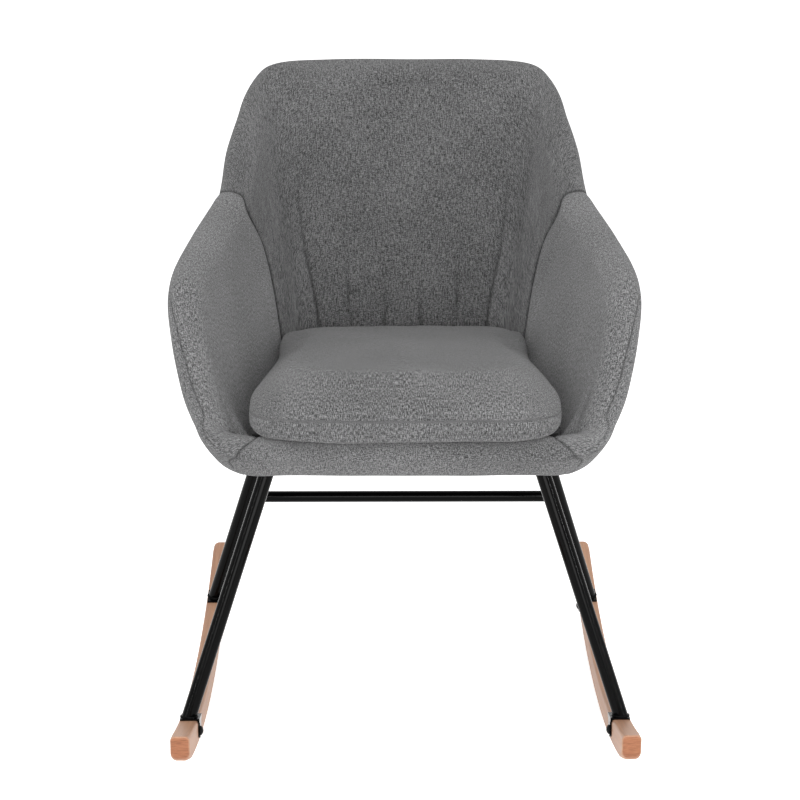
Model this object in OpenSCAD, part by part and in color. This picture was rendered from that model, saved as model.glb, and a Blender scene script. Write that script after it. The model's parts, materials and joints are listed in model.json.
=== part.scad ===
/* [Tub shell] */
// Overall width across the arms
arm_w = 595; // [555:1:640]
// Padded thickness of the back and arms
wall_t = 46; // [40:1:52]
// Height of the tub's underside above the floor
seat_z = 390; // [370:1:410]
// Height of the top of the back above the tub's underside
back_h = 441; // [410:1:470]
// Distance of the back's top behind the chair's centre
back_y = 262; // [250:1:275]
// Width across the flat part of the back's top
back_top_w = 204; // [180:1:220]
// Width of the back where the arms meet it, between wall centres
back_w = 464; // [450:1:480]
// Height of the arm above the tub's underside where it meets the back
arm_root_h = 293; // [280:1:305]
// Height of the arm above the tub's underside at its front tip
arm_tip_h = 212; // [198:1:225]
// Distance of the arm's tip in front of the chair's centre
arm_tip_y = 108; // [95:1:120]
// Height of the padded front edge above the tub's underside
front_h = 46; // [40:1:50]
// Width of the tub's base at the front, between wall centres
base_front_w = 420; // [408:1:430]
// Width of the tub's base at the rear, between wall centres
base_rear_w = 344; // [334:1:354]
// Distance of the base's front wall from the chair's centre
base_front_y = 234; // [228:1:240]
// Distance of the base's rear wall from the chair's centre
base_rear_y = 177; // [170:1:184]

// How far the walls bow outwards between base and crest
wall_bow = 5; // [3:0.5:8]

/* [Inner frame] */
// Thickness of the plywood panels inside the padding
panel_t = 8; // [6:0.5:10]
// Height that the padding stands above the panels
panel_cover = 30; // [26:1:36]
// Thickness of the plywood seat board
board_t = 12; // [9:1:15]
// Thickness of the dust cover under the seat
dust_t = 1; // [0.6:0.1:1.5]
// How far the dust cover's edge stands inside the tub's rounded lower edge
dust_inset = 9; // [6:1:14]
// Height of the seat deck's foam above the board at the rear
deck_rear_t = 3; // [2.5:0.5:5]

/* [Cushion] */
// Thickness of the loose seat cushion
cushion_t = 70; // [60:1:74]
// Width of the cushion at the front
cushion_front_w = 394; // [372:1:396]
// Width of the cushion at the rear
cushion_rear_w = 309; // [294:1:310]
// How far the cushion's sides bulge between its ends
cushion_bulge = 7; // [0:1:8]
// Distance of the cushion's front edge from the chair's centre
cushion_front_y = 267; // [255:1:270]
// Distance of the cushion's rear edge from the chair's centre
cushion_rear_y = 154; // [144:1:156]
// Radius of the cushion's front corners in plan
cushion_front_r = 88; // [70:1:96]
// Radius of the cushion's rear corners in plan
cushion_rear_r = 40; // [30:1:60]

/* [Leg frames] */
// Outside diameter of a leg tube
leg_d = 19; // [17:0.5:21]
// Wall of the leg tubes and the crossbar
tube_wall = 1.5; // [1:0.1:2]
// How far a front leg's top stands inside the centre of the front corner's wall
front_top_in = 43; // [36:1:50]
// Distance of the front leg's top end in front of the chair's centre
front_top_y = 142; // [136:1:148]
// How far a rear leg's top stands outside the centre of the rear corner's wall
rear_top_out = 1; // [-6:1:8]
// Distance of the rear leg's top end behind the chair's centre
rear_top_y = 115; // [109:1:121]
// Distance of the front foot in front of the chair's centre
front_foot_y = 224; // [216:1:232]
// Distance of the rear foot behind the chair's centre
rear_foot_y = 202; // [194:1:210]
// Outside diameter of the crossbar between the rear legs
crossbar_d = 16; // [14:0.5:17]
// Height of the crossbar above the floor
crossbar_z = 222; // [200:1:250]
// Width of the flat steel strap on top of each pair of legs
strap_w = 40; // [36:1:46]
// Thickness of the strap
strap_t = 4; // [3:0.5:5]
// Length of strap beyond the centre of the leg
strap_end = 16; // [13:1:20]
// Distance from a leg's centre to its nearer seat bolt
bolt_inset = 32; // [26:1:40]
// Distance between the two seat bolts at each leg
bolt_pitch = 70; // [40:1:90]

/* [Runners] */
// Outside distance across the two runners
runner_track = 575; // [555:1:595]
// Thickness of a runner
runner_t = 24; // [20:0.5:28]
// Height of a runner
runner_h = 32; // [29:0.5:36]
// Radius of the curve that rolls on the floor
runner_r = 1140; // [1000:10:1300]
// Length of a runner along the floor
runner_len = 693; // [660:1:720]
// Radius on the long edges of a runner
runner_edge_r = 3; // [1:0.5:4]
// Radius on the ends of a runner, seen from the side
runner_end_r = 9; // [4:0.5:12]
// Thickness of a foot bracket
bracket_t = 2.5; // [2:0.5:3]
// Length of a foot bracket along the runner
bracket_len = 32; // [28:1:38]

/* [Fasteners] */
// Nominal diameter of the seat bolts and runner bolts
bolt_d = 6; // [5:0.5:6.5]
// Diameter of a bolt's button head
head_d = 12.5; // [11:0.5:14]
// Height of a bolt's button head
head_h = 3.6; // [3:0.1:4]
// Outside diameter of a seat bolt's washer
washer_d = 16; // [15:0.5:18]
// Thickness of a seat bolt's washer
washer_t = 1.2; // [1:0.1:1.6]
// Barrel diameter of a T-nut in the seat board
tnut_d = 8; // [7.5:0.5:9]
// Diameter of a T-nut's flange
tnut_flange_d = 19; // [16:1:22]
// Thickness of a T-nut's flange
tnut_flange_t = 1.4; // [1:0.1:1.8]
// Outside diameter of the threaded insert in a runner
insert_d = 9; // [8:0.5:11]
// Length of the threaded insert in a runner
insert_len = 15; // [12:0.5:16]

/* [Hidden] */

fabric_c = "#6e6e6e";
ply_c = "#c9a877";
foam_c = "#d8d2bf";
black_c = "#1c1c1c";
steel_c = "#a8a8a8";
beech_c = "#c8a083";

// clearances
soft_gap = 0.3;
slot_top_gap = 2;
thread_gap = 0.05;
hole_gap = 0.3;
far = 1000;

// ---------- the tub: a wall that runs round the seat ----------
// Each station holds the wall's centre at the base and its crest above that point, as
// [base x, base y, crest x, crest y, crest z], from the middle of the back round the
// right arm to the middle of the front. The left side is its mirror image.
// The wall leans out, so its crest line is nearer to the widest point than half a wall.
crest_lean = 5.5;
tip_x = (arm_w - wall_t) / 2 + crest_lean;
t = wall_t;
root_x = back_w / 2;
root_y = back_y * 0.61;
base_r = base_rear_w / 2;
base_f = base_front_w / 2;
back_z = seat_z + back_h;
arm_root_z = seat_z + arm_root_h;
arm_tip_z = seat_z + arm_tip_h;
front_z = seat_z + front_h;
front_top_x = base_f - front_top_in;
rear_top_x = base_r + rear_top_out;
arm_rise = arm_root_z - arm_tip_z;
arm_fall = arm_tip_z - front_z;
arm_run = arm_tip_y + root_y;
fly = tip_x - base_f;
nose = base_front_y - arm_tip_y;
// how far the front edge leans out over its base
front_roll = 0.22 * t;
STATIONS = [
    [0, base_rear_y, 0, back_y, back_z],
    [base_r * 0.41, base_rear_y, back_top_w / 2, back_y - 0.02 * t, back_z],
    [base_r - 1.17 * t, base_rear_y - 0.04 * t,
        root_x - 1.22 * t, back_y - 0.13 * t, back_z - 0.11 * t],
    [base_r - 0.65 * t, base_rear_y - 0.15 * t,
        root_x - 0.63 * t, back_y - 0.26 * t, back_z - 0.54 * t],
    [base_r - 0.35 * t, base_rear_y - 0.37 * t,
        root_x - 0.38 * t, back_y - 0.59 * t, back_z - 1.39 * t],
    [base_r - 0.13 * t, base_rear_y - 0.67 * t,
        root_x - 0.15 * t, back_y - 1.24 * t, arm_root_z + 0.96 * t],
    [base_r, base_rear_y - 1.07 * t, root_x, root_y, arm_root_z],
    [base_r + 0.07 * t, base_rear_y - 1.67 * t,
        root_x + 0.26 * t, root_y - 0.98 * t, arm_root_z - arm_rise * 0.27],
    [base_r + 0.22 * t, base_rear_y * 0.23,
        tip_x - 0.37 * t, root_y - arm_run * 0.5, arm_root_z - arm_rise * 0.55],
    [base_f - 0.30 * t, -base_front_y * 0.13,
        tip_x - 0.07 * t, root_y - arm_run * 0.8, arm_root_z - arm_rise * 0.8],
    [base_f - 0.17 * t, -base_front_y * 0.34, tip_x + 0.02 * t, -arm_tip_y, arm_tip_z],
    [base_f - 0.09 * t, -base_front_y * 0.49,
        tip_x, -arm_tip_y - nose * 0.18, arm_tip_z - arm_fall * 0.15],
    [base_f - 0.02 * t, -base_front_y * 0.63,
        tip_x - fly * 0.12, -arm_tip_y - nose * 0.41, arm_tip_z - arm_fall * 0.4],
    [base_f, 1.26 * t - base_front_y,
        tip_x - fly * 0.31, -arm_tip_y - nose * 0.66, arm_tip_z - arm_fall * 0.66],
    [base_f - 0.09 * t, 0.74 * t - base_front_y,
        tip_x - fly * 0.52, 0.43 * t - base_front_y, front_z + 0.61 * t],
    [base_f - 0.35 * t, 0.33 * t - base_front_y,
        base_f + 0.52 * t, 0.04 * t - base_front_y, front_z + 0.22 * t],
    [base_f - 0.87 * t, 0.07 * t - base_front_y,
        base_f - 0.04 * t, -0.15 * t - base_front_y, front_z + 0.07 * t],
    [base_f - 1.83 * t, -base_front_y,
        base_f - 1.35 * t, -front_roll * 0.9 - base_front_y, front_z],
    [0, -base_front_y - 0.04 * t, 0, -front_roll - base_front_y, front_z]
];
STEPS = 3;
SEAM_BACK = 6 * STEPS;
SEAM_FRONT = 15 * STEPS + 2;

function flip_x(s) = [-s[0], s[1], -s[2], s[3], s[4]];
// control station i: the ring closes on itself, and its second half is mirrored
FRONT = len(STATIONS) - 1;
function control(i) =
    let (m = (i + 2 * FRONT) % (2 * FRONT))
    m <= FRONT ? STATIONS[m] : flip_x(STATIONS[2 * FRONT - m]);
LAST = FRONT * STEPS;
// smooth curve through the stations: step k of STEPS between two stations
function smooth(p, q, r, s, t) =
    0.5 * (2 * q + (r - p) * t + (2 * p - 5 * q + 4 * r - s) * t * t
    + (3 * q - p - 3 * r + s) * t * t * t);
function station(k) =
    let (i = floor(k / STEPS), t = k / STEPS - i)
    smooth(control(i - 1), control(i), control(i + 1), control(i + 2), t);
// outward level direction of the wall at step k
function middle(k) = let (s = station(k)) [s[0] + s[2], s[1] + s[3]] / 2;
function outward(k) =
    let (d = middle(k + 0.5) - middle(k - 0.5)) [d[1], -d[0]] * (-1 / norm(d));
// point of the wall's section: a across the wall, h up from the base, both in mm
function wall_point(k, a, h) =
    let (s = station(k), f = h / (s[4] - seat_z), n = outward(k) * (a + wall_bow * sin(180 * f)))
    [s[0] + (s[2] - s[0]) * f + n[0], s[1] + (s[3] - s[1]) * f + n[1], seat_z + h];
function wall_h(k) = station(k)[4] - seat_z;

ROUND = 6;
LEVELS = [0.2, 0.4, 0.6, 0.8];
// half-round top over a slab of half-thickness r that ends at height h
function cap(r, h) =
    [for (i = [0 : ROUND]) let (u = 180 * i / ROUND) [r * cos(u), h - r + r * sin(u)]];
// points up (or down) a side of the section, at the same heights on every face
function rise(a, low, high, down) =
    [for (i = [0 : len(LEVELS) - 1])
        [a, low + (high - low) * LEVELS[down ? len(LEVELS) - 1 - i : i]]];
function panel_h(k) = wall_h(k) - min(panel_cover, wall_h(k) * 0.35);
foot_h = board_t + soft_gap;
// radius at which the cover turns under the base
hem_r = 8;
// padding: an upside-down U over the panel, its inner leg standing on the seat board
function padding_section(k) =
    let (r = wall_t / 2, h = wall_h(k), slot = panel_t / 2 + soft_gap, p = panel_h(k))
    concat(
        [[slot, 0]],
        [for (u = [0 : 33 : 66]) [r - hem_r * (1 - sin(u)), hem_r * (1 - cos(u))]],
        [[r, foot_h]],
        rise(r, foot_h, h - r, false),
        cap(r, h),
        rise(-r, foot_h, h - r, true),
        [[-r, foot_h], [-slot, foot_h]],
        rise(-slot, foot_h, p, false),
        [[-slot, p + slot_top_gap], [slot, p + slot_top_gap]],
        rise(slot, foot_h, p, true),
        [[slot, foot_h]]
    );
function panel_section(k) =
    let (r = panel_t / 2, h = panel_h(k))
    concat(
        [[r, 0], [r, foot_h]], rise(r, foot_h, h, false), [[r, h], [-r, h]],
        rise(-r, foot_h, h, true), [[-r, foot_h], [-r, 0]]
    );

// loft of the sections at steps from..to
module loft(from, to, padded) {
    rings = [
        for (k = [from : to])
        [for (p = padded ? padding_section(k) : panel_section(k)) wall_point(k, p[0], p[1])]
    ];
    n = len(rings[0]);
    last = len(rings) - 1;
    polyhedron(
        points = [for (r = rings) each r],
        faces = concat(
            [[for (j = [0 : n - 1]) j]],
            [[for (j = [n - 1 : -1 : 0]) last * n + j]],
            [
                for (i = [0 : last - 1], j = [0 : n - 1])
                each [
                    [i * n + j, (i + 1) * n + j, i * n + (j + 1) % n],
                    [i * n + (j + 1) % n, (i + 1) * n + j, (i + 1) * n + (j + 1) % n]
                ]
            ]
        ),
        convexity = 6
    );
}
// outline of the ring at height h, a mm across the wall
function ring_outline(a, h) =
    [for (k = [-LAST + 1 : LAST]) let (p = wall_point(k, a, h)) [p[0], p[1]]];

module back_padding() {
    color(fabric_c) loft(-SEAM_BACK, SEAM_BACK, true);
}
module arm_padding(side) {
    color(fabric_c) sided(side) loft(SEAM_BACK, SEAM_FRONT, true);
}
module front_padding() {
    color(fabric_c) loft(SEAM_FRONT, 2 * LAST - SEAM_FRONT, true);
}
module back_panel() {
    color(ply_c) loft(-SEAM_BACK, SEAM_BACK, false);
}
module arm_panel(side) {
    color(ply_c) sided(side) loft(SEAM_BACK, SEAM_FRONT, false);
}
module front_rail() {
    color(ply_c) loft(SEAM_FRONT, 2 * LAST - SEAM_FRONT, false);
}

// ---------- seat ----------
// centres of the seat bolts: two at each leg's top
BOLTS = [
    for (leg = [[front_top_x, -front_top_y], [rear_top_x, rear_top_y]], side = [-1, 1], n = [0, 1])
    [side * (leg[0] - bolt_inset - n * bolt_pitch), leg[1]]
];
deck_z = seat_z + board_t;
// slope of the deck: the cushion just clears the padded front edge
front_crest_y = base_front_y + front_roll;
deck_slope = (front_z + 3 + soft_gap - deck_z - deck_rear_t) / (front_crest_y + cushion_rear_y);
function deck_top(y) = deck_z + deck_rear_t + (cushion_rear_y - y) * deck_slope;

// the left piece of a pair is the right one's mirror image
module sided(side) {
    mirror([side < 0 ? 1 : 0, 0, 0]) children();
}
module at_bolts() {
    for (b = BOLTS) translate([b[0], b[1], 0]) children();
}
module seat_board() {
    color(ply_c) difference() {
        translate([0, 0, seat_z]) linear_extrude(board_t)
            polygon(ring_outline(-panel_t / 2, 0));
        at_bolts() translate([0, 0, seat_z - 1]) cylinder(d = tnut_d, h = board_t + 2, $fn = 32);
    }
}
// foam wedge on the board that carries the cushion
module seat_deck() {
    inside = ring_outline(-wall_t / 2 - soft_gap, board_t);
    n = len(inside);
    points = concat(
        [for (p = inside) [p[0], p[1], deck_z]],
        [for (p = inside) [p[0], p[1], deck_top(p[1]) - soft_gap]]
    );
    color(foam_c) difference() {
        polyhedron(
            points = points,
            faces = concat(
                [[for (i = [n - 1 : -1 : 0]) i]],
                [[for (i = [0 : n - 1]) n + i]],
                [for (i = [0 : n - 1]) each [
                    [i, (i + 1) % n, n + i],
                    [n + i, (i + 1) % n, n + (i + 1) % n]
                ]]
            )
        );
        at_bolts() translate([0, 0, deck_z - 1])
            cylinder(d = tnut_flange_d + 2 * hole_gap, h = 1 + tnut_flange_t + soft_gap, $fn = 32);
    }
}
module dust_cover() {
    edge = ring_outline(wall_t / 2 - hem_r - dust_inset, 0);
    color(black_c) difference() {
        translate([0, 0, seat_z - dust_t]) linear_extrude(dust_t) polygon(edge);
        at_bolts() translate([0, 0, seat_z - dust_t - 1])
            cylinder(d = bolt_d + 2 * hole_gap, h = dust_t + 2, $fn = 32);
    }
}

// ---------- cushion ----------
// half-width of the cushion at distance y from the chair's centre
function cushion_half(y) =
    let (f = (y + cushion_front_y) / (cushion_rear_y + cushion_front_y))
    (cushion_front_w + (cushion_rear_w - cushion_front_w) * f) / 2 + cushion_bulge * sin(180 * f);
// a quarter round of the plan on side sx, from angle start
function cushion_corner(sx, y, r, start, inset) =
    [
        for (i = [0 : 5]) let (u = start + i * 18, v = y + r * sin(u))
        [sx * (cushion_half(v) - inset - r) + r * cos(u), v]
    ];
function cushion_side(sx, from, to, inset) =
    [for (i = [1 : 3]) let (y = from + (to - from) * i / 4) [sx * (cushion_half(y) - inset), y]];
// plan outline, drawn in by inset on every side
function cushion_outline(inset) =
    let (rf = cushion_front_r - inset * 0.6, rr = cushion_rear_r - inset * 0.6,
        yf = inset - cushion_front_y + rf, yr = cushion_rear_y - inset - rr)
    concat(
        cushion_corner(1, yr, rr, 0, inset),
        cushion_corner(-1, yr, rr, 90, inset),
        cushion_side(-1, yr, yf, inset),
        cushion_corner(-1, yf, rf, 180, inset),
        cushion_corner(1, yf, rf, 270, inset),
        cushion_side(1, yf, yr, inset)
    );
module seat_cushion() {
    low_r = cushion_t * 0.3;
    dome_h = cushion_t * 0.55;
    dome_w = cushion_t * 0.65;
    layers = [
        for (i = [0 : 4]) let (u = -90 + i * 22.5) [low_r * (1 - cos(u)), low_r * (1 + sin(u))],
        for (i = [0 : 5]) let (u = i * 18)
            [dome_w * (1 - cos(u)), cushion_t - dome_h * (1 - sin(u))]
    ];
    rings = [
        for (l = layers)
        [for (p = cushion_outline(l[0])) [p[0], p[1], deck_top(p[1]) + l[1]]]
    ];
    n = len(rings[0]);
    last = len(rings) - 1;
    color(fabric_c) polyhedron(
        points = [for (r = rings) each r],
        faces = concat(
            [[for (j = [0 : n - 1]) j]],
            [[for (j = [n - 1 : -1 : 0]) last * n + j]],
            [
                for (i = [0 : last - 1], j = [0 : n - 1])
                each [
                    [i * n + j, (i + 1) * n + j, i * n + (j + 1) % n],
                    [i * n + (j + 1) % n, (i + 1) * n + j, (i + 1) * n + (j + 1) % n]
                ]
            ]
        ),
        convexity = 4
    );
}

// ---------- runners ----------
track = runner_track / 2;
top_r = runner_r - runner_h;
foot_x = track - runner_t / 2;
half_len = runner_len / 2;
// angle of the bent blank that a runner is cut from
blank_arc = 48;
// lean of the runner's top at distance y from its middle
function lean(y) = asin(y / top_r);

// the runner's own frame: origin at the middle of its top face at distance y, X outwards
module on_runner(side, y) {
    sided(side) translate([foot_x, y, runner_r - sqrt(top_r * top_r - y * y)])
        rotate([lean(y), 0, 0]) children();
}
// corners rounded by r, in steps of 22.5 degrees
function rounded_rectangle(x0, x1, y0, y1, r) = [
    for (c = [[x1 - r, y1 - r, 0], [x0 + r, y1 - r, 90], [x0 + r, y0 + r, 180], [x1 - r, y0 + r, 270]])
    for (i = [0 : 4]) [c[0] + r * cos(c[2] + i * 22.5), c[1] + r * sin(c[2] + i * 22.5)]
];
module runner(side) {
    w = runner_t / 2;
    e = runner_edge_r;
    color(beech_c) sided(side) difference() {
        translate([foot_x, 0, runner_r]) rotate([0, 90, 0]) rotate([0, 0, -blank_arc / 2])
            rotate_extrude(angle = blank_arc, $fn = 360) translate([top_r, 0])
                polygon(rounded_rectangle(0, runner_h, -w, w, e));
        for (s = [-1, 1]) {
            translate([-far / 2, s > 0 ? half_len : -half_len - far, -far / 2]) cube(far);
            end_round(s);
        }
        for (y = [-front_foot_y, rear_foot_y]) on_runner(1, y)
            translate([-runner_t / 2 - 1, 0, -runner_h / 2]) rotate([0, 90, 0])
                cylinder(d = insert_d, h = insert_len + 2, $fn = 32);
    }
}
// takes the corner off the bottom (front end) or the top (rear end) of a runner
module end_round(s) {
    r = runner_end_r;
    rise = s > 0
        ? runner_r - sqrt(top_r * top_r - half_len * half_len) - r
        : runner_r - sqrt(runner_r * runner_r - half_len * half_len) + r;
    translate([-far / 2, s * (half_len - r), rise]) rotate([90, 0, 90])
        linear_extrude(far) difference() {
            translate([s > 0 ? 0 : -2 * r, s > 0 ? 0 : -2 * r]) square(2 * r);
            circle(r = r, $fn = 48);
        }
}
// the flat plate's height over the hollow of the runner's curved top
sag = bracket_len * bracket_len / 8 / top_r + thread_gap;
// steel round the bolt's head, bare wood beside the plate, and skirt along the runner's side
lug_edge = 3;
plate_edge = 1.5;
skirt = 3;
// angle plate under a leg's foot: it lies on the runner and turns down its inner side
module foot_bracket(side, y) {
    w = runner_t / 2;
    drop = runner_h / 2;
    lug = head_d / 2 + lug_edge;
    color(black_c) on_runner(side, y) difference() {
        union() {
            translate([-w - bracket_t, -bracket_len / 2, sag])
                cube([runner_t + bracket_t - plate_edge, bracket_len, bracket_t]);
            translate([-w - bracket_t, -bracket_len / 2, -skirt])
                cube([bracket_t, bracket_len, skirt + sag + 1]);
            translate([-w - bracket_t, -lug, -drop]) cube([bracket_t, 2 * lug, drop + 1]);
            translate([-w - bracket_t, 0, -drop]) rotate([0, 90, 0])
                cylinder(r = lug, h = bracket_t, $fn = 48);
        }
        translate([-w - bracket_t - 1, 0, -drop]) rotate([0, 90, 0])
            cylinder(d = bolt_d + 2 * hole_gap, h = bracket_t + 2, $fn = 32);
    }
}
module at_feet() {
    for (side = [-1, 1], y = [-front_foot_y, rear_foot_y]) on_runner(side, y)
        translate([-runner_t / 2, 0, -runner_h / 2]) rotate([0, 90, 0]) children();
}
module runner_inserts() {
    color(steel_c) at_feet() translate([0, 0, 1]) difference() {
        cylinder(d = insert_d, h = insert_len, $fn = 32);
        translate([0, 0, -1])
            cylinder(d = bolt_d + 2 * thread_gap, h = insert_len + 2, $fn = 32);
    }
}
// button head with a hex socket, its underside at z = 0 and its shank upwards
module button_bolt(shank) {
    dome_r = head_d * 0.62;
    socket_d = bolt_d * 0.66;
    socket_depth = 2;
    difference() {
        union() {
            cylinder(d = bolt_d, h = shank, $fn = 32);
            intersection() {
                translate([0, 0, -head_h]) cylinder(d = head_d, h = head_h, $fn = 48);
                translate([0, 0, dome_r - head_h]) sphere(r = dome_r, $fn = 48);
            }
        }
        translate([0, 0, -head_h - 1]) cylinder(d = socket_d, h = 1 + socket_depth, $fn = 6);
    }
}
module runner_bolts() {
    color(black_c) at_feet() translate([0, 0, -bracket_t])
        button_bolt(bracket_t + insert_len - 1);
}

// ---------- leg frames ----------
leg_top_z = seat_z - dust_t - strap_t;
// height of the foot plate's top, at distance y from the chair's middle
function plate_z(y) = runner_r - sqrt(top_r * top_r - y * y) + sag + bracket_t;
module strap(x, y) {
    half = x + strap_end;
    color(black_c) difference() {
        translate([-half, y - strap_w / 2, leg_top_z]) cube([2 * half, strap_w, strap_t]);
        for (b = BOLTS) if (b[1] == y) translate([b[0], b[1], leg_top_z - 1])
            cylinder(d = bolt_d + 2 * hole_gap, h = strap_t + 2, $fn = 32);
    }
}
// turn of a tube about its own axis, which keeps its facet edges out of the cutting planes
facet_turn = 37;
// bar from point p to point q, run past both by extra
module bar(p, q, d, extra) {
    v = q - p;
    translate(p) rotate([0, acos(v[2] / norm(v)), atan2(v[1], v[0])]) rotate([0, 0, facet_turn])
        translate([0, 0, -extra]) cylinder(d = d, h = norm(v) + 2 * extra, $fn = 48);
}
overrun = 30;
module leg(side, foot_y, top_x, top_y) {
    top = [top_x, top_y, leg_top_z];
    foot = [foot_x, foot_y, plate_z(foot_y)];
    color(black_c) sided(side) difference() {
        bar(foot, top, leg_d, overrun);
        bar(foot, top, leg_d - 2 * tube_wall, overrun + 1);
        translate([-far / 2, -far / 2, leg_top_z]) cube(far);
        on_runner(1, foot_y) translate([-far / 2, -far / 2, sag + bracket_t - far]) cube(far);
    }
}
function rear_leg_x(z) =
    let (f = (z - plate_z(rear_foot_y)) / (leg_top_z - plate_z(rear_foot_y)))
    [foot_x + (rear_top_x - foot_x) * f, rear_foot_y + (rear_top_y - rear_foot_y) * f];
// tube between the rear legs, its ends notched to fit round them
module crossbar() {
    at = rear_leg_x(crossbar_z);
    color(black_c) difference() {
        bar([-at[0], at[1], crossbar_z], [at[0], at[1], crossbar_z], crossbar_d, 0);
        bar([-at[0], at[1], crossbar_z], [at[0], at[1], crossbar_z],
            crossbar_d - 2 * tube_wall, 1);
        for (side = [-1, 1])
            bar([side * foot_x, rear_foot_y, plate_z(rear_foot_y)],
                [side * rear_top_x, rear_top_y, leg_top_z], leg_d, 0);
    }
}

// ---------- seat fasteners ----------
module seat_washers() {
    color(steel_c) at_bolts() translate([0, 0, leg_top_z - washer_t]) difference() {
        cylinder(d = washer_d, h = washer_t, $fn = 48);
        translate([0, 0, -1]) cylinder(d = bolt_d + 2 * hole_gap, h = washer_t + 2, $fn = 32);
    }
}
module seat_bolts() {
    color(black_c) at_bolts() translate([0, 0, leg_top_z - washer_t])
        button_bolt(washer_t + strap_t + dust_t + board_t);
}
module seat_tnuts() {
    color(steel_c) at_bolts() translate([0, 0, seat_z]) difference() {
        union() {
            translate([0, 0, 1]) cylinder(d = tnut_d, h = board_t - 1, $fn = 32);
            translate([0, 0, board_t]) cylinder(d = tnut_flange_d, h = tnut_flange_t, $fn = 48);
        }
        cylinder(d = bolt_d + 2 * thread_gap, h = board_t + tnut_flange_t + 2, $fn = 32);
    }
}

back_padding();
arm_padding(-1);  // arm_padding_left
arm_padding(1);  // arm_padding_right
front_padding();
back_panel();
arm_panel(-1);  // arm_panel_left
arm_panel(1);  // arm_panel_right
front_rail();
seat_board();
seat_deck();
dust_cover();
seat_cushion();
strap(front_top_x, -front_top_y);  // front_strap
strap(rear_top_x, rear_top_y);  // rear_strap
leg(-1, -front_foot_y, front_top_x, -front_top_y);  // front_leg_left
leg(1, -front_foot_y, front_top_x, -front_top_y);  // front_leg_right
leg(-1, rear_foot_y, rear_top_x, rear_top_y);  // rear_leg_left
leg(1, rear_foot_y, rear_top_x, rear_top_y);  // rear_leg_right
crossbar();
foot_bracket(-1, -front_foot_y);  // foot_bracket_front_left
foot_bracket(1, -front_foot_y);  // foot_bracket_front_right
foot_bracket(-1, rear_foot_y);  // foot_bracket_rear_left
foot_bracket(1, rear_foot_y);  // foot_bracket_rear_right
runner(-1);  // runner_left
runner(1);  // runner_right
runner_inserts();
runner_bolts();
seat_bolts();
seat_washers();
seat_tnuts();
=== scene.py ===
import json
import math

import bmesh
import bpy
import numpy as np
from mathutils import Matrix, Vector, noise


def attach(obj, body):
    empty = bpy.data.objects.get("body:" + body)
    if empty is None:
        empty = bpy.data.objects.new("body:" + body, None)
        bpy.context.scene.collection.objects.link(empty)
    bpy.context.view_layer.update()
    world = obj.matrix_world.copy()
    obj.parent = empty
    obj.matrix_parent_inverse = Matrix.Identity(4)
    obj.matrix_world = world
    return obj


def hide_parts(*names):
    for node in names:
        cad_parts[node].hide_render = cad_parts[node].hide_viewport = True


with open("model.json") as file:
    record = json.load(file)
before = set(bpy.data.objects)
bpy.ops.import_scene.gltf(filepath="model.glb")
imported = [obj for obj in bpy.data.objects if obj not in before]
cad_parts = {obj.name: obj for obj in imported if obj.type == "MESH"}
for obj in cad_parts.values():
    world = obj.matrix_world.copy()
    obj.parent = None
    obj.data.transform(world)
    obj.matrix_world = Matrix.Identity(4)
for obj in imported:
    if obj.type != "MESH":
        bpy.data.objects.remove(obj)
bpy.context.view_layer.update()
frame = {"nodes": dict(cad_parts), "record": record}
nodes = frame["nodes"]
scene = bpy.context.scene


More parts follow.
